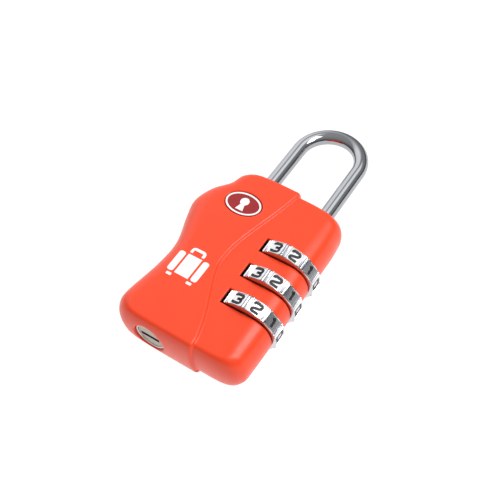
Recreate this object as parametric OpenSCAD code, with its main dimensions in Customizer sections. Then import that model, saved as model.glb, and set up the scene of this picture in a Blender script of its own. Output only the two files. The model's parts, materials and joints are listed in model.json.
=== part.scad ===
// Luggage combination padlock with three side dials and an inspection key plug.
//
// The lock lies on its back. Sizes below are worked out in lock axes: X = 0 midway
// between the shackle legs, +X towards the dials; Y = 0 at the bottom dial, +Y towards
// the shackle; Z = 0 in the plane of the shackle, +Z out of the front face. place() then
// moves everything so that the origin is under the middle of the bounding box.

/* [Shackle] */
// Diameter of the shackle wire
wire_d = 3.2; // [3.1:0.05:3.3]
// Distance between the centres of the two legs
leg_gap = 14; // [13.9:0.05:14.1]
// Centre of the arch above the bottom dial
arch_y = 41.1; // [38:0.5:44]
// Depth of the short leg inside the casing when closed
toe_depth = 5.4; // [4:0.2:6]

/* [Dials] */
// Outer radius of a dial
dial_r = 6.73; // [6.65:0.02:6.75]
// Width of a dial along its axis
dial_w = 3; // [2.8:0.05:3.1]
// Distance from one dial to the next, and the lift of the shackle
dial_pitch = 6.5; // [6.5:0.1:6.6]
// Number of digits on a dial
digits = 10; // [10]

/* [Casing] */
// Half thickness of the proud left part of the casing
left_half_t = 5.5; // [5.4:0.05:5.7]
// Step down from the left part to the dial part, all round
step = 0.5; // [0.4:0.05:0.6]
// Wall of the casing over the dials
wall = 1.1; // [1:0.05:1.15]
// Gap between a dial and each side of its slot
slot_gap = 0.15; // [0.1:0.05:0.2]

/* [Key plug] */
// Radius of the key barrel
barrel_r = 3.3; // [3.2:0.05:3.4]
// Radius of the key plug
plug_r = 2.75; // [2.7:0.05:2.8]
// Distance of the cam pin from the plug's axis
cam_e = 1.13; // [1.05:0.02:1.15]

/* [Hidden] */
$fn = 64;

wire_r = wire_d / 2;
heel_x = leg_gap / 2;
toe_x = -leg_gap / 2;
run_gap = 0.06;            // radial clearance of a running fit
eps = 0.05;                // clearance between pieces that nearly touch

// ---- outlines of the casing ------------------------------------------------
// Outlines at the shackle's plane, clockwise seen from the front. Each row is
// [x, y, roll x, roll y]: the roll vector leads to where the face becomes flat.
// Proud left part, from the bottom end of the ridge round to its top end
LEFT_EDGE = [
    [2.8, -13.0, 0, 1.5],   [-10, -12.95, 0.7, 1.6], [-13.6, -12.4, 2.2, 1.8],
    [-15.6, -10.4, 3.6, 1.2], [-15.8, -7.5, 4, 0.2],  [-14.6, 0, 4.4, 0],
    [-14.5, 6, 4.4, -0.4],   [-16.5, 12, 4.8, -0.4],  [-17.6, 16.5, 4.8, -0.6],
    [-15.9, 21, 3.6, -2.2],  [-13.2, 24, 3, -2],      [-11.9, 26.8, 2.4, -2],
    [-8, 28.1, 0.8, -1.6],   [1.5, 28.0, 0, -1.5]
];
// Dial part, from the top round to the bottom
DIAL_EDGE = [
    [1.9, 27.3, 0, -1.5],    [7, 27, -0.5, -1.5],     [11.6, 26.0, -2.4, -1.4],
    [12.7, 22.3, -3.6, -0.6],  [12.8, 14, -4, 0],       [12.8, -6.5, -4, 0.2],
    [12, -10.8, -2.8, 1.2],  [9, -12.3, -0.7, 1.6],   [3.2, -12.45, 0, 1.5]
];
// Ridge where the left part steps down to the dial part, from the top down
RIDGE = [[0.5, 21], [-2.1, 12], [-2.8, 7], [-2.2, 3], [1.3, -5], [2.7, -9.4]];
curve_steps = 4;           // points on each span of a curve
roll_power = 2.1;          // exponent of the rounded edge, 2 being an ellipse
roll_angles = [-90, -70, -54, -38, -20, 0, 20, 38, 54, 70, 90];
flat_trim = 0.02;          // the flat faces are cut this far below the rounded edge

function spline_point(a, b, c, d, t) =
    0.5 * (2 * b + (c - a) * t + (2 * a - 5 * b + 4 * c - d) * t * t
        + (3 * b - a - 3 * c + d) * t * t * t);
function open_curve(pts) = let (n = len(pts)) [
    for (i = [0 : n - 2]) for (s = [0 : curve_steps - 1])
        spline_point(pts[max(i - 1, 0)], pts[i], pts[i + 1], pts[min(i + 2, n - 1)],
            s / curve_steps),
    pts[n - 1]
];
left_curve = open_curve(LEFT_EDGE);
dial_curve = open_curve(DIAL_EDGE);

// Places of the working parts along Y
casing_top = LEFT_EDGE[len(LEFT_EDGE) - 1][1];
casing_bottom = min([for (row = left_curve) row[1]]);
casing_left = min([for (row = left_curve) row[0]]);
dial_ys = [2 * dial_pitch, dial_pitch, 0];
hub_below = 2.7;           // hub below its dial's centre
hub_len = dial_pitch - 0.3;
hub_r = 3.7;
hub_cavity_r = 2.75;
fin_len = 2.6;
fin_top = 0.1;             // top of a fin above its dial's centre
fin_r = 2.6;
fin_w = 1.4;
neck_from = fin_top + 0.2;
lower_wall_top = -hub_below - 0.4;
lower_wall_t = 0.6;
clip_t = 0.5;
clip_top = lower_wall_top - lower_wall_t - eps - dial_pitch;
leg_bottom = clip_top - clip_t - 0.2;
toe_end = casing_top - toe_depth;
dial_half_t = left_half_t - step;
left_face = left_half_t - flat_trim;
dial_face = dial_half_t - flat_trim;
slot_left = 1.9;           // left end of the dial slots
cavity_top = dial_half_t - wall;
split_z = -cavity_top + 0.1; // parting plane between front shell and back cover
groove_r = 0.7;            // finger groove between two digits
groove_at = dial_r + 0.3;
groove_half = acos((pow(groove_at, 2) + pow(dial_r, 2) - pow(groove_r, 2))
    / (2 * groove_at * dial_r));
key_x = toe_x;
barrel_face = casing_bottom + 0.55;
barrel_end = -2.7;

// Row origin: under the middle of the bounding box
mid_x = (casing_left + heel_x + dial_r) / 2;
mid_y = (casing_bottom + arch_y + leg_gap / 2 + wire_r) / 2;
low_z = dial_r * cos(groove_half);
module place() { translate([-mid_x, -mid_y, low_z]) children(); }

// ---- shapes used more than once ----------------------------------------------
// Cylinder along Y from y = from to y = to
module rod_y(r, from, to, x = 0, z = 0) {
    translate([x, from, z]) rotate([-90, 0, 0]) cylinder(r = r, h = to - from);
}
module ring_y(r_out, r_in, from, to, x = 0) {
    difference() {
        rod_y(r_out, from, to, x);
        rod_y(r_in, from - 1, to + 1, x);
    }
}
module block(x, y, z) {
    translate([x[0], y[0], z[0]]) cube([x[1] - x[0], y[1] - y[0], z[1] - z[0]]);
}
// Closed skin through rings of points that all have the same length
module skin(rings) {
    n = len(rings[0]);
    m = len(rings);
    polyhedron(
        points = [for (ring = rings) for (p = ring) p],
        faces = concat(
            [[for (i = [n - 1 : -1 : 0]) i]],
            side_faces(n, m),
            [[for (i = [0 : n - 1]) (m - 1) * n + i]]
        )
    );
}
// Triangles between m rings of n points
function side_faces(n, m) = [
    for (k = [0 : m - 2]) for (i = [0 : n - 1]) let (j = (i + 1) % n) each
        [[k * n + i, (k + 1) * n + j, (k + 1) * n + i], [k * n + i, k * n + j, (k + 1) * n + j]]
];
function roll_height(a, half_t) = sign(a) * half_t * pow(sin(abs(a)), 2 / roll_power);
function rolled(row, share, z) = [row[0] + row[2] * share, row[1] + row[3] * share, z];
function rolled_ring(a) = concat(
    [for (row = left_curve) rolled(row, 1 - pow(cos(a), 2 / roll_power),
        roll_height(a, left_half_t))],
    [for (row = dial_curve) rolled(row, 1 - pow(cos(a), 2 / roll_power),
        roll_height(a, dial_half_t))]
);
// Rounded body of the casing, taller than its flat faces
module casing_body() {
    spare = 1;
    flat = [for (p = rolled_ring(90)) [p[0], p[1], left_half_t + spare]];
    rings = concat(
        [[for (p = flat) [p[0], p[1], -p[2]]]],
        [for (a = roll_angles) rolled_ring(a)],
        [flat]
    );
    n = len(flat);
    last = (len(rings) - 1) * n;
    ends = len(rings) * n;
    polyhedron(
        points = concat(
            [for (ring = rings) for (p = ring) p],
            [[-2, 8, -left_half_t - spare], [-2, 8, left_half_t + spare]]
        ),
        faces = concat(
            side_faces(n, len(rings)),
            [for (i = [0 : n - 1]) [ends, (i + 1) % n, i]],
            [for (i = [0 : n - 1]) [ends + 1, last + i, last + (i + 1) % n]]
        )
    );
}
// Everything on the dials' side of the ridge, from one height to another
module dial_side(from, to) {
    ridge = open_curve(concat([[1.7, 26]], RIDGE, [[2.95, -11]]));
    translate([0, 0, from]) linear_extrude(to - from)
        polygon(concat([[30, 40], [1.7, 40]], ridge, [[2.95, -30], [30, -30]]));
}
module dial_slots() {
    reach = dial_w / 2 + slot_gap;
    for (y = dial_ys)
        translate([0, y + reach, 0]) rotate([90, 0, 0]) linear_extrude(2 * reach) {
            translate([slot_left, -10]) square([30, 20]);
            translate([heel_x, 0]) circle(r = dial_r + 0.18);
        }
}
// Room inside the front shell, open at the back
module cavity() {
    translate([0, 0, -10]) linear_extrude(10 + cavity_top) polygon([
        [-1, 25.2], [9.4, 25.2], [10.9, 21], [10.9, -8.6], [9.6, -10.8], [8.8, -11.1],
        [-11.8, -11.2], [-12.8, -9], [-11.8, 2], [-13.8, 15], [-10.6, 25.2]
    ]);
}
module badge_plate(gap, from, to) {
    translate([-6.6, 19.1, from]) linear_extrude(to - from)
        polygon([for (a = [0 : 10 : 350]) [(4.1 + gap) * cos(a), (2.85 + gap) * sin(a)]]);
}
// Coil of round wire along X, as one skin with six sides
function coil_ring(r, wire, pitch, a) = [for (b = [0 : 60 : 300])
    let (q = r + wire * cos(b)) [pitch * a / 360 + wire * sin(b), q * cos(a), q * sin(a)]];
module coil(r, wire, turns, length) {
    skin([for (a = [turns * 360 : -45 : 0]) coil_ring(r, wire, length / turns, a)]);
}

// ---- casing (all fixed) -----------------------------------------------------
module front_shell() {
    place() color("orangered") difference() {
        intersection() {
            casing_body();
            block([-30, 30], [-30, 40], [split_z, left_face]);
        }
        dial_side(dial_face, 10);
        cavity();
        dial_slots();
        rod_y(2.5, 24, 40, toe_x);
        rod_y(2.5, 24, 40, heel_x);
        rod_y(barrel_r + eps, -20, -10, key_x);
        badge_plate(0, left_face - 0.5, 10);
    }
}

module back_cover() {
    place() color("orangered") difference() {
        intersection() {
            casing_body();
            block([-30, 30], [-30, 40], [-left_face, split_z - eps]);
        }
        dial_side(-10, -dial_face);
        dial_slots();
    }
}

module emblem_badge() {
    place() color("firebrick") badge_plate(-eps, left_face - 0.45, left_face - 0.1);
}

// Collar pressed into the top wall round a leg
module leg_bushing(x, top) {
    place() color("dimgray") ring_y(2.45, wire_r + run_gap, 25.3, top, x);
}
module toe_bushing() { leg_bushing(toe_x, casing_top - 0.3); }
module heel_bushing() { leg_bushing(heel_x, DIAL_EDGE[1][1] - 0.3); }

module lock_frame() {
    frame_z = [-3.4, 3.4];
    back_z = [-3.4, -2.6];
    place() color("lightsteelblue") difference() {
        union() {
            block([-9.6, -0.9], [-10, 25.2], back_z);
            block([-1.4, 10.6], [lower_wall_top - lower_wall_t, lower_wall_top], frame_z);
            block([-9.6, 9.2], [24.2, 25.2], frame_z);
            block([-11, -3.1], [-8.6, -6.4], frame_z);
            block([-8.4, -7.2], [6, 10], [-3.4, 2.2]);
        }
        rod_y(wire_r + run_gap, 20, 30, toe_x);
        rod_y(wire_r + run_gap, -10, 30, heel_x);
        rod_y(barrel_r + eps, -20, 0, key_x);
    }
}

module detent_spring() {
    tip_r = 0.3;
    tip_a = 252;
    reach = dial_r + eps + tip_r;
    tip = [heel_x + reach * sin(tip_a), reach * cos(tip_a)];
    place() color("silver") {
        block([-0.85, -0.6], [-2.6, 15.6], [-2.55, -0.6]);
        for (y = dial_ys) {
            block([-0.7, tip[0]], [y - 0.6, y + 0.6], [tip[1] - 0.12, tip[1] + 0.12]);
            rod_y(tip_r, y - 0.6, y + 0.6, tip[0], tip[1]);
        }
    }
}

module wave_washer() {
    place() color("silver")
        ring_y(3.3, wire_r + 0.15, lower_wall_top + eps, -hub_below - eps, heel_x);
}

module key_barrel() {
    place() color("gray")
        ring_y(barrel_r, plug_r + run_gap, barrel_face, barrel_end, key_x);
}

module keeper_spring() {
    place() color("silver") translate([-6.95, 8, 0]) coil(1.1, 0.16, 6, 4.2);
}

// ---- shackle ------------------------------------------------------------------
module shackle() {
    place() color("silver") difference() {
        union() {
            rod_y(wire_r, leg_bottom, arch_y, heel_x);
            rod_y(wire_r, toe_end, arch_y, toe_x);
            translate([0, arch_y, 0]) rotate_extrude(angle = 180)
                translate([heel_x, 0]) circle(r = wire_r);
            for (y = dial_ys)
                block([heel_x + 1.2, heel_x + fin_r], [y + fin_top - fin_len, y + fin_top],
                    [-fin_w / 2, fin_w / 2]);
        }
        ring_y(3, 1.15, clip_top - clip_t - eps, clip_top + eps, heel_x);
        translate([toe_x, toe_end - 0.01, 0]) rotate([-90, 0, 0]) difference() {
            cylinder(r = 3, h = 0.6);
            cylinder(r1 = wire_r - 0.6, r2 = wire_r + 0.01, h = 0.61);
        }
    }
}

module heel_clip() {
    place() color("dimgray") difference() {
        ring_y(2.5, 1.2, clip_top - clip_t, clip_top, heel_x);
        block([heel_x - 5, heel_x], [clip_top - 2, clip_top + 1], [-0.9, 0.9]);
    }
}

// ---- dials and their hubs ------------------------------------------------------
module dial(y) {
    rim = 0.25;
    place() color("silver") difference() {
        translate([heel_x, y, 0]) rotate([-90, 0, 0]) rotate_extrude() polygon([
            [hub_r + eps, -dial_w / 2], [dial_r - rim, -dial_w / 2],
            [dial_r, rim - dial_w / 2], [dial_r, dial_w / 2 - rim],
            [dial_r - rim, dial_w / 2], [hub_r + eps, dial_w / 2]
        ]);
        for (k = [0 : digits - 1]) {
            a = k * 360 / digits;
            rod_y(groove_r, y - 3, y + 3, heel_x + groove_at * sin(a), groove_at * cos(a));
            // notch for the hub's keys
            translate([heel_x, y, 0]) rotate([0, a, 0])
                block([-0.55, 0.55], [-3, 3], [hub_r - 0.5, hub_r + 0.6]);
        }
    }
}
module dial_top() { dial(dial_ys[0]); }
module dial_middle() { dial(dial_ys[1]); }
module dial_bottom() { dial(dial_ys[2]); }

module hub(y) {
    low = y - hub_below;
    place() color("burlywood") difference() {
        union() {
            rod_y(hub_r, low, low + hub_len, heel_x);
            for (side = [0, 180]) translate([heel_x, y, 0]) rotate([0, side, 0])
                block([-0.5, 0.5], [-dial_w / 2, dial_w / 2], [hub_r - 0.4, hub_r + 0.5]);
        }
        rod_y(wire_r + run_gap, y - 10, y + 10, heel_x);
        rod_y(hub_cavity_r, low - 1, y + neck_from, heel_x);
        block([heel_x, heel_x + hub_cavity_r], [y - 10, y + 10],
            [-fin_w / 2 - 0.12, fin_w / 2 + 0.12]);
    }
}
module hub_top() { hub(dial_ys[0]); }
module hub_middle() { hub(dial_ys[1]); }
module hub_bottom() { hub(dial_ys[2]); }

// ---- key plug and keeper ---------------------------------------------------------
plug_face = barrel_face + 0.15;
plug_tail = -1.95;
wafer_t = 0.6;
wafer_ys = [for (k = [0 : 4]) plug_face + 2 + 1.3 * k];
cam_top = -1.15;

module key_plug() {
    place() color("darkgray") difference() {
        union() {
            rod_y(plug_r, plug_face, barrel_end, key_x);
            rod_y(2.2, barrel_end, plug_tail, key_x);
        }
        block([key_x - 2.05, key_x + 2.05], [plug_face - 1, wafer_ys[4] + 0.7], [-0.5, 0.5]);
        for (y = wafer_ys) {
            block([key_x - 3, key_x + 3], [y - eps, y + wafer_t + eps], [-1.35, 1.35]);
            block([key_x - 1.2, key_x + 1.2], [y - eps, y + wafer_t + eps], [1, 2.4]);
        }
    }
}

module plug_wafers() {
    place() color("goldenrod") for (y = wafer_ys) difference() {
        block([key_x - 2.3, key_x + 2.3], [y, y + wafer_t], [-1.3, 1.3]);
        block([key_x - 1.9, key_x + 1.9], [y - 1, y + 2], [-0.6, 0.6]);
    }
}

module wafer_springs() {
    place() color("silver") for (y = wafer_ys)
        translate([key_x - 0.8, y + wafer_t / 2, 1.75]) coil(0.2, 0.06, 4, 1.6);
}

module plug_cam() {
    place() color("darkgray") {
        rod_y(2.3, plug_tail + eps, cam_top, key_x);
        rod_y(0.6, cam_top - 0.1, 0.5,
            key_x + cam_e * sin(135), cam_e * cos(135));
    }
}

module plug_clip() {
    place() color("dimgray") difference() {
        ring_y(3.2, 2.25, barrel_end + eps, barrel_end + 0.5, key_x);
        block([key_x - 5, key_x], [-5, 0], [-1.6, 1.6]);
    }
}

module keeper_slide() {
    foot = [-0.9, 0.3];
    tongue_y = dial_ys[0] - hub_below + hub_len + eps;
    pin_x = key_x + cam_e * sin(135);
    place() color("slategray") difference() {
        union() {
            block([-9, -1.1], foot, [-2.4, 2.4]);
            block([-2.3, -1.1], [foot[0], tongue_y + 1.2], [-2.4, 2.4]);
            block([-2.3, 4.8], [tongue_y, tongue_y + 1.2], [-1.5, 1.5]);
        }
        block([pin_x - 0.68, pin_x + 0.68], [-2, 2], [-2, 0]);
    }
}

front_shell();
back_cover();
emblem_badge();
toe_bushing();
heel_bushing();
lock_frame();
detent_spring();
wave_washer();
key_barrel();
keeper_spring();
shackle();
heel_clip();
dial_top();
dial_middle();
dial_bottom();
hub_top();
hub_middle();
hub_bottom();
key_plug();
plug_wafers();
wafer_springs();
plug_cam();
plug_clip();
keeper_slide();
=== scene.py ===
"""Looks of a small luggage combination padlock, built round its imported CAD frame.

Shapes are worked out in the lock's own axes, in millimetres: X = 0 midway between the
shackle's legs and +X towards the dials, Y = 0 at the bottom dial and +Y towards the
shackle, Z = 0 in the shackle's plane and +Z out of the front face.
"""
import json
import math

import bpy
import numpy as np
from mathutils import Matrix, Vector


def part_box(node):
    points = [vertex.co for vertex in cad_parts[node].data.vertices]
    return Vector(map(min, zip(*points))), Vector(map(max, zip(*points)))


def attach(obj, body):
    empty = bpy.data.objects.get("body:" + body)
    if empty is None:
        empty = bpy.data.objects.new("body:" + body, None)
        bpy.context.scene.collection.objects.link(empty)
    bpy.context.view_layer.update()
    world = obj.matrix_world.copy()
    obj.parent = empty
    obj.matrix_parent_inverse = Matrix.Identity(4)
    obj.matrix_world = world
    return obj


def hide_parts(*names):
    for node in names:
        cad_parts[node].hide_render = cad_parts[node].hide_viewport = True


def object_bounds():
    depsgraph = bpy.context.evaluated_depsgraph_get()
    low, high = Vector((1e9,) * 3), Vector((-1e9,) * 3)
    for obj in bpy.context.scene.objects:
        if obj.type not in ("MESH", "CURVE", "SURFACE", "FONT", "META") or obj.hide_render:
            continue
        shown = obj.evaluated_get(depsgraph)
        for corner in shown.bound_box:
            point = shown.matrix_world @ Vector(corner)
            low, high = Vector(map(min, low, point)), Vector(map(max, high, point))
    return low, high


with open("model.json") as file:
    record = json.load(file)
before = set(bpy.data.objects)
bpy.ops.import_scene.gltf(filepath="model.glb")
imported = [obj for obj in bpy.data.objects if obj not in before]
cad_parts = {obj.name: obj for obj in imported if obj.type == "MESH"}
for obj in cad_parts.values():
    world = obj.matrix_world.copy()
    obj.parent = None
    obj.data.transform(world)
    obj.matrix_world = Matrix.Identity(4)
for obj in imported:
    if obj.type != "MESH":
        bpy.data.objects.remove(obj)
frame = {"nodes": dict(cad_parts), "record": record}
cad_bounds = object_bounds()

# ---- lock axes ------------------------------------------------------------------

MM = 0.001
HEEL_X = 7.0                 # long leg, and the axis of the dials
TOE_X = -7.0                 # short leg, and the axis of the key plug
DIAL_PITCH = 6.5
DIAL_YS = {"top": 2 * DIAL_PITCH, "middle": DIAL_PITCH, "bottom": 0.0}


def middle(node):
    low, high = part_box(node)
    return (low + high) / 2


ORIGIN = middle("dial_bottom") - Vector((HEEL_X, 0, 0)) * MM


def to_row(points):
    """Points in lock millimetres as points of the row frame in metres."""
    return np.asarray(points, float) * MM + np.array(ORIGIN)


def lock_box(node):
    """Lowest and highest corner of a CAD node, in lock millimetres."""
    return [(np.array(corner) - np.array(ORIGIN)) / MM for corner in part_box(node)]


# ---- materials ------------------------------------------------------------------

def srgb(red, green, blue):
    """An sRGB colour from 0 to 255 as a linear RGBA colour."""
    def linear(c):
        c /= 255
        return c / 12.92 if c <= 0.04045 else ((c + 0.055) / 1.055) ** 2.4
    return (linear(red), linear(green), linear(blue), 1.0)


class Finish:
    """A material whose patterns are measured in millimetres on the piece itself."""

    def __init__(self, name, **sockets):
        self.material = bpy.data.materials.new(name)
        self.material.use_nodes = True
        self.nodes = self.material.node_tree.nodes
        self.links = self.material.node_tree.links
        self.shader = self.nodes["Principled BSDF"]
        for socket, value in sockets.items():
            self.shader.inputs[socket.replace("_", " ")].default_value = value
        self.place = self.nodes.new("ShaderNodeTexCoord").outputs["Object"]
        self.height = None

    def add(self, kind, inputs=(), **settings):
        node = self.nodes.new(kind)
        for key, value in settings.items():
            setattr(node, key, value)
        for key, value in dict(inputs).items():
            if isinstance(value, bpy.types.NodeSocket):
                self.links.new(value, node.inputs[key])
            else:
                node.inputs[key].default_value = value
        return node

    def noise(self, size, detail=2.0, stretch=(1, 1, 1)):
        """Noise with features of about size millimetres."""
        vector = self.add("ShaderNodeMapping", {"Vector": self.place, "Scale": stretch})
        return self.add("ShaderNodeTexNoise", {
            "Vector": vector.outputs[0], "Scale": 1 / (size * MM), "Detail": detail,
        }).outputs["Fac"]

    def spread(self, value, low, high, low_in=0.3, high_in=0.7):
        """The noise value carried from low_in..high_in to low..high."""
        return self.add("ShaderNodeMapRange", {
            "Value": value, "From Min": low_in, "From Max": high_in,
            "To Min": low, "To Max": high,
        }).outputs[0]

    def roughness(self, size, low, high, **options):
        value = self.spread(self.noise(size, **options), low, high)
        self.links.new(value, self.shader.inputs["Roughness"])
        return self

    def colour(self, factor, first, second):
        ramp = self.add("ShaderNodeValToRGB", {"Fac": factor})
        ramp.color_ramp.elements[0].color = first
        ramp.color_ramp.elements[1].color = second
        self.links.new(ramp.outputs["Color"], self.shader.inputs["Base Color"])
        return self

    def bump(self, size, depth, **options):
        """Grain with features of about size millimetres and that depth in millimetres."""
        inputs = {"Height": self.noise(size, **options), "Strength": 1.0,
                  "Distance": depth * MM}
        if self.height is not None:
            inputs["Normal"] = self.height
        self.height = self.add("ShaderNodeBump", inputs).outputs["Normal"]
        self.links.new(self.height, self.shader.inputs["Normal"])
        return self


def casing_plastic():
    look = Finish("casing_plastic", Specular_IOR_Level=0.4, IOR=1.5)
    look.colour(look.noise(9, detail=3), srgb(246, 68, 30), srgb(250, 74, 34))
    look.roughness(2.5, 0.30, 0.37, detail=5)
    return look.bump(0.22, 0.004, detail=3).bump(6, 0.02).material


def chrome(name, tone, low, high):
    look = Finish(name, Metallic=1.0)
    look.colour(look.noise(4, detail=4), srgb(*(c - 5 for c in tone)), srgb(*tone))
    look.roughness(1.2, low, high, detail=6, stretch=(1, 0.25, 1))
    return look.bump(3, 0.002, detail=2, stretch=(1, 0.3, 1)).material


def brushed_metal(name, dark, light):
    look = Finish(name, Metallic=1.0)
    look.colour(look.noise(1.5, detail=5), srgb(*dark), srgb(*light))
    look.roughness(0.6, 0.25, 0.4, detail=5)
    return look.bump(0.12, 0.003, detail=3).material


def moulded(name, dark, light, low, high):
    look = Finish(name, Specular_IOR_Level=0.5)
    look.colour(look.noise(1.5, detail=4), srgb(*dark), srgb(*light))
    look.roughness(0.8, low, high, detail=4)
    return look.bump(0.15, 0.003, detail=3).material


FINISHES = {
    "casing_plastic": casing_plastic(),
    "badge_red": moulded("badge_red", (140, 4, 12), (166, 9, 18), 0.3, 0.4),
    "print_white": moulded("print_white", (246, 245, 243), (252, 251, 250), 0.4, 0.55),
    "digit_black": moulded("digit_black", (6, 7, 9), (14, 15, 18), 0.4, 0.55),
    "bushing_plastic": moulded("bushing_plastic", (38, 38, 42), (52, 52, 56), 0.4, 0.55),
    "shackle_chrome": chrome("shackle_chrome", (168, 170, 174), 0.08, 0.13),
    "dial_chrome": chrome("dial_chrome", (204, 205, 209), 0.12, 0.17),
    "barrel_metal": brushed_metal("barrel_metal", (188, 186, 182), (206, 204, 200)),
    "plug_metal": brushed_metal("plug_metal", (150, 142, 132), (172, 165, 155)),
    "pressed_steel": brushed_metal("pressed_steel", (150, 153, 158), (172, 175, 180)),
    "spring_steel": brushed_metal("spring_steel", (120, 124, 130), (146, 150, 156)),
    "hub_brass": brushed_metal("hub_brass", (176, 146, 84), (198, 168, 104)),
}

# ---- meshes -----------------------------------------------------------------------


def piece(name, points, faces, slot, body, replaces=(), sharp=40):
    """A piece from points in lock millimetres, riding on a body."""
    mesh = bpy.data.meshes.new(name)
    mesh.from_pydata(to_row(points).tolist(), [], [list(map(int, f)) for f in faces])
    mesh.validate()
    mesh.materials.append(FINISHES[slot])
    obj = bpy.data.objects.new(name, mesh)
    bpy.context.scene.collection.objects.link(obj)
    mesh.shade_smooth()
    if sharp:
        mesh.set_sharp_from_angle(angle=math.radians(sharp))
    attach(obj, body)
    if replaces:
        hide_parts(*replaces)
    return obj


class Solid:
    """Points and faces gathered from several closed forms."""

    def __init__(self):
        self.points = []
        self.faces = []

    def add(self, points, faces):
        start = len(self.points)
        self.points.extend(map(tuple, points))
        self.faces.extend([start + i for i in face] for face in faces)
        return self


def rings_faces(rows, columns, closed_rows=False):
    """Quads through rows of points, each row a closed loop of columns points."""
    faces = []
    for k in range(rows if closed_rows else rows - 1):
        a, b = k * columns, (k + 1) % rows * columns
        for i in range(columns):
            j = (i + 1) % columns
            faces.append((a + i, a + j, b + j, b + i))
    return faces


def revolve(profile, x, segments=96):
    """A ring round the axis along Y at x, from a closed profile of (radius, y)."""
    points = []
    for k in range(segments):
        a = 2 * math.pi * k / segments
        points += [(x + r * math.sin(a), y, r * math.cos(a)) for r, y in profile]
    return points, rings_faces(segments, len(profile), closed_rows=True)


def rounded(points, radius, steps=5, closed=True):
    """A polyline whose corners are arcs of about that radius."""
    points = [np.array(p, float) for p in points]
    n = len(points)
    result = []
    for i, p in enumerate(points):
        if not closed and i in (0, n - 1):
            result.append(tuple(p))
            continue
        before, after = points[i - 1] - p, points[(i + 1) % n] - p
        reach = min(radius, np.linalg.norm(before) / 2.01, np.linalg.norm(after) / 2.01)
        start = p + before / np.linalg.norm(before) * reach
        end = p + after / np.linalg.norm(after) * reach
        for t in np.linspace(0, 1, steps):
            result.append(tuple((1 - t) ** 2 * start + 2 * t * (1 - t) * p + t * t * end))
    return result


def plate(outline, low, high, edge=0.0):
    """A plate from a closed 2-D outline, with its top edge drawn in by edge."""
    outline = np.array(outline, float)
    inset = offset(outline, -edge) if edge else outline
    n = len(outline)
    levels = [(outline, low), (outline, high - edge), (inset, high)]
    points = [(x, y, z) for ring, z in levels for x, y in ring]
    faces = [tuple(range(n - 1, -1, -1))] + rings_faces(3, n)
    return points, faces + [tuple(range(2 * n, 3 * n))]


def offset(outline, amount):
    """A counter-clockwise closed outline moved outwards by amount."""
    ahead = np.roll(outline, -1, 0) - np.roll(outline, 1, 0)
    ahead /= np.linalg.norm(ahead, axis=1)[:, None]
    return outline + amount * np.stack([ahead[:, 1], -ahead[:, 0]], 1)


def stroke(path, width, low, high, closed=False):
    """A painted stroke along a 2-D path, from height low to high."""
    path = np.array(path, float)
    if closed:
        ahead = np.roll(path, -1, 0) - np.roll(path, 1, 0)
    else:
        ahead = np.gradient(path, axis=0)
    ahead /= np.linalg.norm(ahead, axis=1)[:, None]
    side = np.stack([-ahead[:, 1], ahead[:, 0]], 1) * width / 2
    n = len(path)
    points = [
        (x, y, z)
        for left, z in ((path + side, low), (path + side, high))
        for x, y in left
    ]
    points += [
        (x, y, z)
        for right, z in ((path - side, high), (path - side, low))
        for x, y in right
    ]
    strips = n if closed else n - 1
    faces = []
    for i in range(strips):
        j = (i + 1) % n
        for a, b in ((0, 1), (1, 2), (2, 3), (3, 0)):
            faces.append((a * n + i, b * n + i, b * n + j, a * n + j))
    if not closed:
        faces.append((0, 3 * n, 2 * n, n))
        last = n - 1
        faces.append((last, n + last, 2 * n + last, 3 * n + last))
    return points, faces


# ---- casing -------------------------------------------------------------------------
# Outlines at the shackle's plane, clockwise seen from the front. Each row is
# (x, y, roll x, roll y): the roll vector leads to where the face becomes flat.

LEFT_EDGE = [
    (2.8, -13.0, 0, 1.5), (-10, -12.95, 0.7, 1.6), (-13.6, -12.4, 2.2, 1.8),
    (-15.6, -10.4, 3.6, 1.2), (-15.8, -7.5, 4, 0.2), (-14.6, 0, 4.4, 0),
    (-14.5, 6, 4.4, -0.4), (-16.5, 12, 4.8, -0.4), (-17.6, 16.5, 4.8, -0.6),
    (-15.9, 21, 3.6, -2.2), (-13.2, 24, 3, -2), (-11.9, 26.8, 2.4, -2),
    (-8, 28.1, 0.8, -1.6), (1.5, 28.0, 0, -1.5),
]
DIAL_EDGE = [
    (1.9, 27.3, 0, -1.5), (7, 27, -0.5, -1.5), (11.6, 26.0, -2.4, -1.4),
    (12.7, 22.3, -3.6, -0.6), (12.8, 14, -4, 0), (12.8, -6.5, -4, 0.2),
    (12, -10.8, -2.8, 1.2), (9, -12.3, -0.7, 1.6), (3.2, -12.45, 0, 1.5),
]
RIDGE = [
    (1.7, 40), (1.7, 26), (0.5, 21), (-2.1, 12), (-2.8, 7), (-2.2, 3), (1.3, -5),
    (2.7, -9.4), (2.95, -11), (2.95, -30),
]
CAVITY = [
    (-1, 25.2), (9.4, 25.2), (10.9, 21), (10.9, -8.6), (9.6, -10.8), (8.8, -11.1),
    (-11.8, -11.2), (-12.8, -9), (-11.8, 2), (-13.8, 15), (-10.6, 25.2),
]
LEFT_HALF_T = 5.48
DIAL_HALF_T = 4.98
ROLL_POWER = 2.1
CAVITY_TOP = 3.9
SPLIT_Z = -3.8
SEAM = 0.05
SLOT_HALF = 1.65
SLOT_LEFT = 1.9
SLOT_R = 6.91
BADGE_AT = (-6.6, 19.1)
BADGE_R = (4.1, 2.85)
BADGE_DEPTH = 0.5
BARREL_R = 3.35
BARREL_TO = -10              # the barrel's hole starts below here
LEG_HOLE_R = 2.5
LEG_HOLE_FROM = 24           # and the legs' holes above here
BEYOND = 40.0                # far outside the casing
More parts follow.
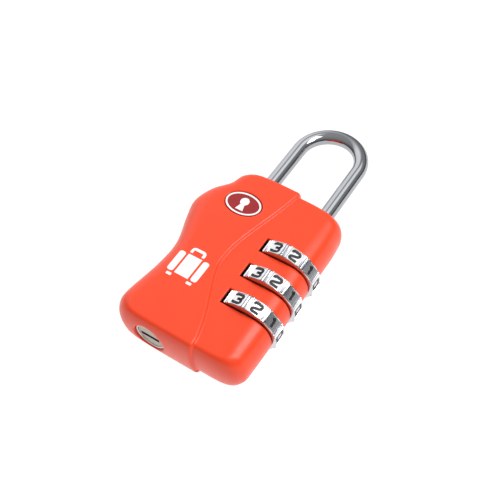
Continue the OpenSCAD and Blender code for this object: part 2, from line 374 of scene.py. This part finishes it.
# radius of the rounding where two faces meet
RIDGE_TOP_EDGE = 0.6
RIDGE_FOOT = 0.3
OPENING_EDGE = 0.3
BARREL_EDGE = 0.4
BADGE_EDGE = 0.25
SEAM_EDGE = 0.2
RIDGE_LAP = 1.5              # how far the dial part runs on under the left part


def curve(rows, steps=8):
    """A smooth curve through the rows."""
    rows = np.array(rows, float)
    result = []
    for i in range(len(rows) - 1):
        a, b = rows[max(i - 1, 0)], rows[i]
        c, d = rows[i + 1], rows[min(i + 2, len(rows) - 1)]
        for t in np.arange(steps) / steps:
            result.append(0.5 * (
                2 * b + (c - a) * t + (2 * a - 5 * b + 4 * c - d) * t ** 2
                + (3 * b - a - 3 * c + d) * t ** 3
            ))
    result.append(rows[-1])
    return np.array(result)


def line_distance(px, py, line):
    best = np.full(px.shape, np.inf)
    for (ax, ay), (bx, by) in zip(line[:-1], line[1:]):
        dx, dy = bx - ax, by - ay
        t = np.clip(((px - ax) * dx + (py - ay) * dy) / (dx * dx + dy * dy), 0, 1)
        best = np.minimum(best, (px - ax - t * dx) ** 2 + (py - ay - t * dy) ** 2)
    return np.sqrt(best)


def signed_distance(px, py, outline):
    """Distance to a closed outline, positive inside it."""
    inside = np.zeros(px.shape, bool)
    loop = np.vstack([outline, outline[:1]])
    for (ax, ay), (bx, by) in zip(loop[:-1], loop[1:]):
        crosses = (ay > py) != (by > py)
        with np.errstate(divide="ignore", invalid="ignore"):
            inside ^= crosses & (px < (bx - ax) * (py - ay) / (by - ay) + ax)
    distance = line_distance(px, py, loop)
    return np.where(inside, distance, -distance)


def soften(image, cells):
    """The image blurred over that many cells."""
    reach = int(3 * cells)
    kernel = np.exp(-0.5 * (np.arange(-reach, reach + 1) / cells) ** 2)
    kernel /= kernel.sum()
    for axis in (0, 1):
        pads = [(reach, reach) if k == axis else (0, 0) for k in (0, 1)]
        padded = np.pad(image, pads, mode="edge")
        image = np.apply_along_axis(np.convolve, axis, padded, kernel, mode="valid")
    return image


class CasingForm:
    """The casing as a field that is negative inside, worked out from flat maps."""

    CELL = 0.1
    LOW = np.array((-20.0, -15.0))
    SIZE = (351, 451)

    def __init__(self):
        px, py = np.meshgrid(
            self.LOW[0] + self.CELL * np.arange(self.SIZE[0]),
            self.LOW[1] + self.CELL * np.arange(self.SIZE[1]), indexing="ij",
        )
        self.maps = {}
        for side, rows, far in (("left", LEFT_EDGE, BEYOND), ("dial", DIAL_EDGE, -BEYOND)):
            edge = curve(rows)
            outer, inner = edge[:, :2], edge[:, :2] + edge[:, 2:]
            depth = [
                signed_distance(px, py, np.vstack([
                    line, [(far, line[-1, 1]), (far, line[0, 1])],
                ]))
                for line in (outer, inner)
            ]
            width = np.maximum(depth[0] - depth[1], 0.5)
            self.maps[side + "_share"] = soften(depth[0] / width, 3)
            self.maps[side + "_width"] = soften(width, 3)
        ridge = curve(RIDGE[1:-1], 10)
        ridge = np.vstack([RIDGE[0], ridge, RIDGE[-1]])
        ridge_x = np.interp(py, ridge[::-1, 1], ridge[::-1, 0])
        self.maps["ridge"] = np.sign(px - ridge_x) * line_distance(px, py, ridge)
        self.maps["cavity"] = -signed_distance(px, py, np.array(CAVITY, float))

    def look_up(self, name, x, y):
        """The map's value at points, between its four nearest cells."""
        u = np.clip((x - self.LOW[0]) / self.CELL, 0, self.SIZE[0] - 1.001)
        v = np.clip((y - self.LOW[1]) / self.CELL, 0, self.SIZE[1] - 1.001)
        i, j = u.astype(int), v.astype(int)
        u, v = u - i, v - j
        m = self.maps[name]
        return (
            (m[i, j] * (1 - u) + m[i + 1, j] * u) * (1 - v)
            + (m[i, j + 1] * (1 - u) + m[i + 1, j + 1] * u) * v
        )

    def rolled_body(self, side, half_t, x, y, z):
        """A flat body whose edges roll over from one face to the other."""
        share = np.minimum(self.look_up(side + "_share", x, y), 1)
        width = self.look_up(side + "_width", x, y)
        across, up = 1 - share, np.abs(z) / half_t
        level = np.maximum((across ** ROLL_POWER + up ** ROLL_POWER), 1e-6)
        level = level ** (1 / ROLL_POWER)
        slope = np.hypot(
            (up / level) ** (ROLL_POWER - 1) / half_t,
            (across / level) ** (ROLL_POWER - 1) / width,
        )
        return (level - 1) / np.maximum(slope, 0.08)

    def outside(self, x, y, z):
        """The whole casing without its holes."""
        ridge = self.look_up("ridge", x, y)
        proud = self.rolled_body("left", LEFT_HALF_T, x, y, z)
        proud = rounded_max(proud, ridge, RIDGE_TOP_EDGE)
        low = self.rolled_body("dial", DIAL_HALF_T, x, y, z)
        return rounded_min(proud, np.maximum(low, -RIDGE_LAP - ridge), RIDGE_FOOT)

    def slots(self, x, y, z):
        window = np.minimum(SLOT_LEFT - x, np.hypot(x - HEEL_X, z) - SLOT_R)
        nearest = np.min([np.abs(y - row) for row in DIAL_YS.values()], axis=0)
        return np.maximum(nearest - SLOT_HALF, window)

    def front(self, x, y, z):
        form = rounded_max(self.outside(x, y, z), -self.slots(x, y, z), OPENING_EDGE)
        for leg_x in (HEEL_X, TOE_X):
            hole = np.maximum(np.hypot(x - leg_x, z) - LEG_HOLE_R, LEG_HOLE_FROM - y)
            form = rounded_max(form, -hole, OPENING_EDGE)
        barrel = np.maximum(np.hypot(x - TOE_X, z) - BARREL_R, y - BARREL_TO)
        form = rounded_max(form, -barrel, BARREL_EDGE)
        across, along = ((p - at) / r for p, at, r in zip((x, y), BADGE_AT, BADGE_R))
        round_badge = np.hypot(across, along)
        recess = np.maximum((round_badge - 1) * BADGE_R[1], LEFT_HALF_T - BADGE_DEPTH - z)
        form = rounded_max(form, -recess, BADGE_EDGE)
        room = np.maximum(self.look_up("cavity", x, y), z - CAVITY_TOP)
        form = rounded_max(form, -room, SEAM_EDGE)
        return rounded_max(form, SPLIT_Z - z, SEAM_EDGE)

    def back(self, x, y, z):
        form = rounded_max(self.outside(x, y, z), -self.slots(x, y, z), OPENING_EDGE)
        return rounded_max(form, z - SPLIT_Z + SEAM, SEAM_EDGE)


def rounded_max(a, b, size):
    """The larger of two fields, with a rounded edge where they meet."""
    blend = np.maximum(size - np.abs(a - b), 0) / size
    return np.maximum(a, b) + blend ** 2 * size / 4


def rounded_min(a, b, size):
    return -rounded_max(-a, -b, size)


def grid_line(low, high, cell, fine=()):
    """Places from low to high a cell apart, closer near each (place, reach, cell)."""
    places = [low]
    while places[-1] < high:
        here = places[-1]
        step = min([cell] + [c for at, reach, c in fine if abs(here - at) < reach])
        places.append(here + step)
    return np.array(places)


def surface(field, xs, ys, zs, polish=3):
    """Points and quads of the surface where the field is zero."""
    x, y, z = np.meshgrid(xs, ys, zs, indexing="ij")
    value = field(x, y, z)
    spots = (x, y, z)
    shape = tuple(n - 1 for n in value.shape)
    total = np.zeros(shape + (3,))
    count = np.zeros(shape)
    quads = []
    crossings = []
    for axis in range(3):
        first = [slice(None)] * 3
        second = [slice(None)] * 3
        first[axis], second[axis] = slice(0, -1), slice(1, None)
        a, b = value[tuple(first)], value[tuple(second)]
        crossed = (a < 0) != (b < 0)
        with np.errstate(divide="ignore", invalid="ignore"):
            t = np.where(crossed, a / (a - b), 0)
        at = [s[tuple(first)] + t * (s[tuple(second)] - s[tuple(first)]) for s in spots]
        at = np.stack(at, -1) * crossed[..., None]
        others = [k for k in range(3) if k != axis]
        for shift in ((0, 0), (0, 1), (1, 0), (1, 1)):
            part = [slice(None)] * 3
            for k, s in zip(others, shift):
                part[k] = slice(s, value.shape[k] - 1 + s)
            total += at[tuple(part)]
            count += crossed[tuple(part)]
        crossings.append((axis, crossed, a < 0))
    number = np.full(shape, -1)
    used = count > 0
    number[used] = np.arange(used.sum())
    points = total[used] / count[used][:, None]
    for axis, crossed, inside in crossings:
        u, v = [(1, 2), (2, 0), (0, 1)][axis]
        i = np.argwhere(crossed)
        i = i[(i[:, u] > 0) & (i[:, v] > 0) & (i[:, u] < shape[u]) & (i[:, v] < shape[v])]
        corners = []
        for du, dv in ((1, 1), (0, 1), (0, 0), (1, 0)):
            cell = i.copy()
            cell[:, u] -= du
            cell[:, v] -= dv
            corners.append(number[tuple(cell.T)])
        quad = np.stack(corners, 1)
        flip = ~inside[tuple(i.T)]
        quad[flip] = quad[flip][:, ::-1]
        quads.append(quad)
    for _ in range(polish):
        points = onto_surface(field, points)
    return points, np.vstack(quads)


def onto_surface(field, points, reach=0.01, longest=0.08):
    """One step of each point towards the field's zero."""
    x, y, z = points.T
    value = field(x, y, z)
    slope = np.stack([
        (field(x + reach, y, z) - value) / reach,
        (field(x, y + reach, z) - value) / reach,
        (field(x, y, z + reach) - value) / reach,
    ], 1)
    length = np.maximum((slope ** 2).sum(1), 0.05)
    step = -slope * (value / length)[:, None]
    size = np.linalg.norm(step, axis=1)
    return points + step * np.minimum(1, longest / np.maximum(size, 1e-9))[:, None]


def build_casing():
    form = CasingForm()
    cell = 0.28
    slot_edges = [row + side * SLOT_HALF for row in DIAL_YS.values() for side in (-1, 1)]
    xs = grid_line(-18.2, 13.4, cell, [(SLOT_LEFT, 0.3, 0.1)])
    ys = grid_line(-13.6, 28.6, cell, [(edge, 0.3, 0.1) for edge in slot_edges])
    front_zs = grid_line(SPLIT_Z - 0.2, 6, cell, [
        (SPLIT_Z, 0.2, 0.08), (DIAL_HALF_T, 0.3, 0.1), (LEFT_HALF_T, 0.25, 0.1),
    ])
    back_zs = grid_line(-6, SPLIT_Z + 0.3, cell, [
        (SPLIT_Z, 0.2, 0.08), (-DIAL_HALF_T, 0.3, 0.1), (-LEFT_HALF_T, 0.25, 0.1),
    ])
    for name, field, zs, node in (
        ("casing_front", form.front, front_zs, "front_shell"),
        ("casing_back", form.back, back_zs, "back_cover"),
    ):
        points, quads = surface(field, xs, ys, zs)
        piece(name, points, quads, "casing_plastic", "casing", [node], sharp=None)


# ---- badge and printed mark -----------------------------------------------------------

def ellipse(centre, radii, inset=0.0, count=96):
    x, y = centre
    across, along = (radius - inset for radius in radii)
    angles = np.linspace(0, 2 * math.pi, count, endpoint=False)
    return [(x + across * math.cos(a), y + along * math.sin(a)) for a in angles]


def arc(centre, radius, start, end, count=24):
    """Points of an arc between two angles in degrees."""
    return [
        (centre[0] + radius * math.cos(a), centre[1] + radius * math.sin(a))
        for a in np.radians(np.linspace(start, end, count))
    ]


def build_badge():
    low, high = lock_box("emblem_badge")
    face = high[2]
    body = plate(ellipse(BADGE_AT, BADGE_R, 0.06), low[2], face, edge=0.12)
    piece("badge_disc", *body, "badge_red", "casing", ["emblem_badge"])
    x, y = BADGE_AT
    print_low, print_high = face - 0.02, face + 0.03
    border = ellipse(BADGE_AT, BADGE_R, 0.42)
    keyhole = arc((x, y + 0.55), 0.95, -62, 242) + [(x - 0.85, y - 1.7), (x + 0.85, y - 1.7)]
    mark = Solid()
    mark.add(*stroke(border, 0.36, print_low, print_high, closed=True))
    mark.add(*plate(keyhole, print_low, print_high))
    piece("badge_mark", mark.points, mark.faces, "print_white", "casing")


def build_print():
    """A plain suitcase sign: three panels, a handle and two feet."""
    centre, scale = np.array((-7.3, 1.4)), 1.15
    low, high = LEFT_HALF_T - 0.02, LEFT_HALF_T + 0.02
    mark = Solid()
    for left, right in ((-2.95, -1.75), (-1.35, 1.35), (1.75, 2.95)):
        panel = [(left, -2.1), (right, -2.1), (right, 2.1), (left, 2.1)]
        radius = 0.5 if right - left < 1.5 else 0.05
        mark.add(*plate(np.array(rounded(panel, radius)) * scale + centre, low, high))
    handle = rounded([(-1.15, 2.45), (-1.15, 3.4), (1.15, 3.4), (1.15, 2.45)], 0.6,
                     closed=False)
    mark.add(*stroke(np.array(handle) * scale + centre, 0.6, low, high))
    for foot in (-2.0, 2.0):
        pad = [(foot - 0.5, -2.95), (foot + 0.5, -2.95), (foot + 0.5, -2.45),
               (foot - 0.5, -2.45)]
        mark.add(*plate(np.array(rounded(pad, 0.15)) * scale + centre, low, high))
    piece("luggage_print", mark.points, mark.faces, "print_white", "casing")


# ---- dials ------------------------------------------------------------------------------

DIGITS = 10
FACET = 360 / DIGITS
PANEL_H = 6.42               # flat panel under a digit, from the dial's axis
FRAME_H = 6.54               # raised frame round the panel
RIM_R = 6.7
GROOVE_TOP = 6.4             # below this radius lies the groove beside a frame
DIAL_HALF_W = 1.5
PANEL_HALF_W = 1.22          # of the flat panel, inside its frame
BORE_R = 3.76
KEY_HALF_ANGLE = 9           # of each notch for the hub's keys, in degrees
KEY_DEPTH = 0.5
PAINT = 0.02                 # how far the painted digits stand out
# across one digit: distance from its middle and height, up to the rib between digits
ACROSS = [
    (0, PANEL_H), (0.65, PANEL_H), (1.24, PANEL_H), (1.32, FRAME_H), (1.56, FRAME_H),
    (1.62, 6.3), (1.72, 6.3),
]
RIB = [(0.9, 6.46), (0.965, RIM_R)]  # shares of the half facet angle, and radii

STROKES = {
    0: [[(-1, 1), (1, 1), (1, -1), (-1, -1), (-1, 1)]],
    1: [[(-0.55, 0.5), (0.1, 1), (0.1, -1)]],
    2: [[(-1, 0.5), (-1, 1), (1, 1), (1, 0.2), (-1, -0.4), (-1, -1), (1, -1)]],
    3: [[(-1, 0.6), (-1, 1), (1, 1), (1, 0), (-0.3, 0)],
        [(-0.3, 0), (1, 0), (1, -1), (-1, -1), (-1, -0.6)]],
    4: [[(-1, 1), (-1, -0.15), (1, -0.15)], [(0.5, 1), (0.5, -1)]],
    5: [[(1, 1), (-1, 1), (-1, 0), (1, 0), (1, -1), (-1, -1)]],
    6: [[(1, 1), (-1, 1), (-1, -1), (1, -1), (1, 0), (-1, 0)]],
    7: [[(-1, 1), (1, 1), (0, -1)]],
    8: [[(-1, 1), (1, 1), (1, -1), (-1, -1), (-1, 1)], [(-1, 0), (1, 0)]],
    9: [[(-1, -1), (1, -1), (1, 1), (-1, 1), (-1, 0), (1, 0)]],
}
DIGIT_HALF = (0.78, 0.9)
STROKE_W = 0.56
STROKE_BEND = 0.55           # radius of a digit's corners


def digit_angle(digit):
    """Angle of a digit's middle from +Z towards +X: 0 reads at the side."""
    return math.radians(90 - FACET * digit)


def on_facet(points, angle, y):
    """Points (across, along, height) on a dial's facet, in lock millimetres."""
    s, c = math.sin(angle), math.cos(angle)
    return [(HEEL_X + u * c + h * s, y + v, h * c - u * s) for u, v, h in points]


def rim_profile():
    """(angle from a digit's middle, radius) across one whole facet."""
    half = math.radians(FACET / 2)
    side = [(math.atan2(u, h), math.hypot(u, h)) for u, h in ACROSS]
    side += [(share * half, radius) for share, radius in RIB]
    mirror = [(-angle, radius) for angle, radius in side[:0:-1]]
    return mirror + side


def build_dial(name, y):
    profile = rim_profile()
    angles, rims, bores = [], [], []
    for k in range(DIGITS):
        middle_angle = math.radians(FACET * (k + 0.5))
        for angle, radius in profile:
            angles.append(middle_angle + angle)
            rims.append(radius)
            near_key = math.radians(FACET / 2) - abs(angle) < math.radians(KEY_HALF_ANGLE)
            bores.append(BORE_R + (KEY_DEPTH if near_key else 0))
    angles, rims, bores = np.array(angles), np.array(rims), np.array(bores)
    frame_r = np.where(rims < GROOVE_TOP, rims, np.maximum(rims, FRAME_H))
    rows = []                # radii round the dial, and their place along its axis
    for sign in (-1, 1):
        half = [
            (bores, 1.38), (bores + 0.35, 1.38), (bores + 0.5, DIAL_HALF_W),
            (frame_r - 0.3, DIAL_HALF_W), (frame_r - 0.08, 1.46), (frame_r, 1.38),
            (frame_r, 1.28), (rims, PANEL_HALF_W),
        ]
        rows += [(r, sign * v) for r, v in (half if sign < 0 else half[::-1])]
    points = [
        (HEEL_X + r * math.sin(a), y + v, r * math.cos(a))
        for radii, v in rows for a, r in zip(angles, radii)
    ]
    faces = rings_faces(len(rows), len(angles), closed_rows=True)
    piece("number_dial_" + name, points, [f[::-1] for f in faces], "dial_chrome",
          name + "_dial", ["dial_" + name], sharp=25)
    ink = Solid()
    for digit, paths in STROKES.items():
        for path in paths:
            closed = path[0] == path[-1]
            scaled = [(u * DIGIT_HALF[0], v * DIGIT_HALF[1]) for u, v in path]
            if closed:
                line = rounded(scaled[:-1], STROKE_BEND)
            else:
                line = rounded(scaled, STROKE_BEND, closed=False)
            points, faces = stroke(line, STROKE_W, PANEL_H - PAINT, PANEL_H + PAINT, closed)
            ink.add(on_facet(points, digit_angle(digit), y), faces)
    piece("digits_" + name, ink.points, ink.faces, "digit_black", name + "_dial")


# ---- shackle, collars and barrel ------------------------------------------------------------

WIRE_R = 1.6
ARCH_Y = 41.1
ARCH_R = 7.0
TOE_DEPTH = 5.4              # of the short leg inside the casing
NECK_R = 1.15                # where the clip sits on the long leg
FIN_FROM, FIN_TO = 1.2, 2.6  # a fin's reach from the leg's axis
FIN_HALF = 0.7
FIN_LOW, FIN_TOP = -2.5, 0.1  # its ends, from its dial's middle
RUN_GAP = 0.06


def build_shackle():
    low = lock_box("shackle")[0]
    clip_low, clip_high = (corner[1] for corner in lock_box("heel_clip"))
    toe_end = LEFT_EDGE[-1][1] - TOE_DEPTH
    heel = [
        (low[1], 1.3), (low[1] + 0.3, WIRE_R), (clip_low - 0.06, WIRE_R),
        (clip_low - 0.05, NECK_R), (clip_high + 0.05, NECK_R), (clip_high + 0.06, WIRE_R),
    ]
    sections = [((HEEL_X, y), 0.0, r) for y, r in heel]
    sections += [((HEEL_X, y), 0.0, WIRE_R) for y in np.linspace(clip_high + 1, ARCH_Y, 24)]
    for a in np.linspace(0, math.pi, 97)[1:-1]:
        sections.append(((ARCH_R * math.cos(a), ARCH_Y + ARCH_R * math.sin(a)), a, WIRE_R))
    sections += [((TOE_X, y), math.pi, WIRE_R) for y in np.linspace(ARCH_Y, toe_end + 0.6, 12)]
    sections += [((TOE_X, toe_end + 0.3), math.pi, 1.42), ((TOE_X, toe_end), math.pi, 1.0)]
    around = 72
    points = []
    for (x, y), turn, radius in sections:
        for k in range(around):
            a = 2 * math.pi * k / around
            out = radius * math.cos(a)
            points.append((x + out * math.cos(turn), y + out * math.sin(turn),
                           radius * math.sin(a)))
    faces = [tuple(range(around))]
    faces += [f[::-1] for f in rings_faces(len(sections), around)]
    last = (len(sections) - 1) * around
    faces.append(tuple(range(last + around - 1, last - 1, -1)))
    wire = Solid().add(points, faces)
    for y in DIAL_YS.values():
        fin = rounded([
            (FIN_FROM, -FIN_HALF), (FIN_TO, -FIN_HALF), (FIN_TO, FIN_HALF), (FIN_FROM, FIN_HALF),
        ], 0.12, 3)
        ring = [(HEEL_X + u, w) for u, w in fin]
        n = len(ring)
        points = [(u, level, w) for level in (y + FIN_LOW, y + FIN_TOP) for u, w in ring]
        wire.add(points, [tuple(range(n)), tuple(range(2 * n - 1, n - 1, -1))]
                 + [f[::-1] for f in rings_faces(2, n)])
    piece("shackle_wire", wire.points, wire.faces, "shackle_chrome", "shackle", ["shackle"])


def ring_piece(name, node, slot, body, inner, edge=0.12):
    """A turned ring with softened edges in the place of a CAD ring."""
    low, high = lock_box(node)
    x = (low[0] + high[0]) / 2
    outer = (high[0] - low[0]) / 2
    profile = rounded(
        [(inner, low[1]), (outer, low[1]), (outer, high[1]), (inner, high[1])], edge, 4
    )
    piece(name, *revolve(profile, x), slot, body, [node], sharp=50)


def build_fittings():
    ring_piece("toe_collar", "toe_bushing", "bushing_plastic", "casing", WIRE_R + RUN_GAP)
    ring_piece("heel_collar", "heel_bushing", "bushing_plastic", "casing", WIRE_R + RUN_GAP)
    ring_piece("barrel_ring", "key_barrel", "barrel_metal", "casing", 2.81, edge=0.2)


# ---- finishes of the CAD nodes that stay --------------------------------------------------

def finish_nodes():
    slots = {part["node"]: part["material_slot"] for part in frame["record"]["subparts"]}
    for node, obj in frame["nodes"].items():
        if obj.hide_render:
            continue
        obj.data.materials.clear()
        obj.data.materials.append(FINISHES[slots[node]])


# ---- studio ---------------------------------------------------------------------------------

def studio_floor():
    size = 3.0
    z = cad_bounds[0][2]
    mesh = bpy.data.meshes.new("floor")
    corners = [(-size, -size, z), (size, -size, z), (size, size, z), (-size, size, z)]
    mesh.from_pydata(corners, [], [(0, 1, 2, 3)])
    obj = bpy.data.objects.new("floor", mesh)
    bpy.context.scene.collection.objects.link(obj)
    material = bpy.data.materials.new("floor_white")
    material.use_nodes = True
    shader = material.node_tree.nodes["Principled BSDF"]
    shader.inputs["Base Color"].default_value = (0.2, 0.2, 0.2, 1)
    shader.inputs["Roughness"].default_value = 0.9
    shader.inputs["Emission Color"].default_value = (1, 1, 1, 1)
    shader.inputs["Emission Strength"].default_value = 0.97
    mesh.materials.append(material)


def area_light(name, at, aim, size, power):
    data = bpy.data.lights.new(name, "AREA")
    data.shape = "RECTANGLE"
    data.size, data.size_y = size
    data.energy = power
    obj = bpy.data.objects.new(name, data)
    bpy.context.scene.collection.objects.link(obj)
    place = Vector(to_row(at))
    obj.location = place
    obj.rotation_euler = (Vector(to_row(aim)) - place).to_track_quat("-Z", "Y").to_euler()


# soft boxes in the sky: direction from the lock, cosine at the edge and in full, brightness
SOFT_BOXES = [
    ((0.16, 0.45, 0.88), 0.93, 0.975, 1.2),
    ((-0.80, 0.42, 0.43), 0.76, 0.95, 1.15),
]
# height of a direction as a share from straight down to straight up, and its grey
SKY = [(0.0, 0.05), (0.56, 0.06), (0.68, 0.35), (1.0, 0.55)]


def studio_world():
    world = bpy.data.worlds.new("studio")
    world.use_nodes = True
    bpy.context.scene.world = world
    nodes, links = world.node_tree.nodes, world.node_tree.links

    def node(kind, *inputs, **settings):
        made = nodes.new(kind)
        for key, value in settings.items():
            setattr(made, key, value)
        for socket, value in zip(made.inputs, inputs):
            if isinstance(value, bpy.types.NodeSocket):
                links.new(value, socket)
            elif value is not None:
                socket.default_value = value
        return made.outputs

    direction = nodes.new("ShaderNodeTexCoord").outputs["Generated"]
    height = node("ShaderNodeSeparateXYZ", direction)["Z"]
    share = node("ShaderNodeMapRange", height, -1, 1, 0, 1)[0]
    ramp = nodes.new("ShaderNodeValToRGB")
    links.new(share, ramp.inputs["Fac"])
    while len(ramp.color_ramp.elements) < len(SKY):
        ramp.color_ramp.elements.new(0.5)
    for element, (at, grey) in zip(ramp.color_ramp.elements, SKY):
        element.position = at
        element.color = (grey, grey, grey, 1)
    total = ramp.outputs["Color"]
    for towards, edge, full, brightness in SOFT_BOXES:
        facing = node("ShaderNodeVectorMath", direction, Vector(towards).normalized(),
                      operation="DOT_PRODUCT")["Value"]
        glow = node("ShaderNodeMapRange", facing, edge, full, 0, brightness,
                    interpolation_type="SMOOTHSTEP")[0]
        total = node("ShaderNodeVectorMath", total, glow, operation="ADD")[0]
    background = nodes["Background"]
    links.new(total, background.inputs["Color"])
    background.inputs["Strength"].default_value = 1.0


CAMERA_AT = (52.27, -53.42, 120.95)
CAMERA_AHEAD = Vector((-0.364, 0.450, -0.815))
CAMERA_UP = Vector((-0.412, 0.707, 0.574))


def studio_camera():
    data = bpy.data.cameras.new("camera")
    data.lens = 54.1
    data.sensor_width = 36
    data.clip_start = 0.01
    obj = bpy.data.objects.new("camera", data)
    bpy.context.scene.collection.objects.link(obj)
    back = -CAMERA_AHEAD.normalized()
    right = CAMERA_UP.cross(back).normalized()
    up = back.cross(right)
    turn = Matrix((right, up, back)).transposed()
    obj.matrix_world = Matrix.Translation(to_row(CAMERA_AT)) @ turn.to_4x4()
    bpy.context.scene.camera = obj


def build_studio():
    studio_floor()
    studio_world()
    studio_camera()
    area_light("key_light", (120, 55, 165), (0, 8, 0), (0.09, 0.14), 0.30)


build_casing()
build_badge()
build_print()
for dial_name, dial_y in DIAL_YS.items():
    build_dial(dial_name, dial_y)
build_shackle()
build_fittings()
finish_nodes()
build_studio()
bpy.context.scene.view_settings.view_transform = "Standard"
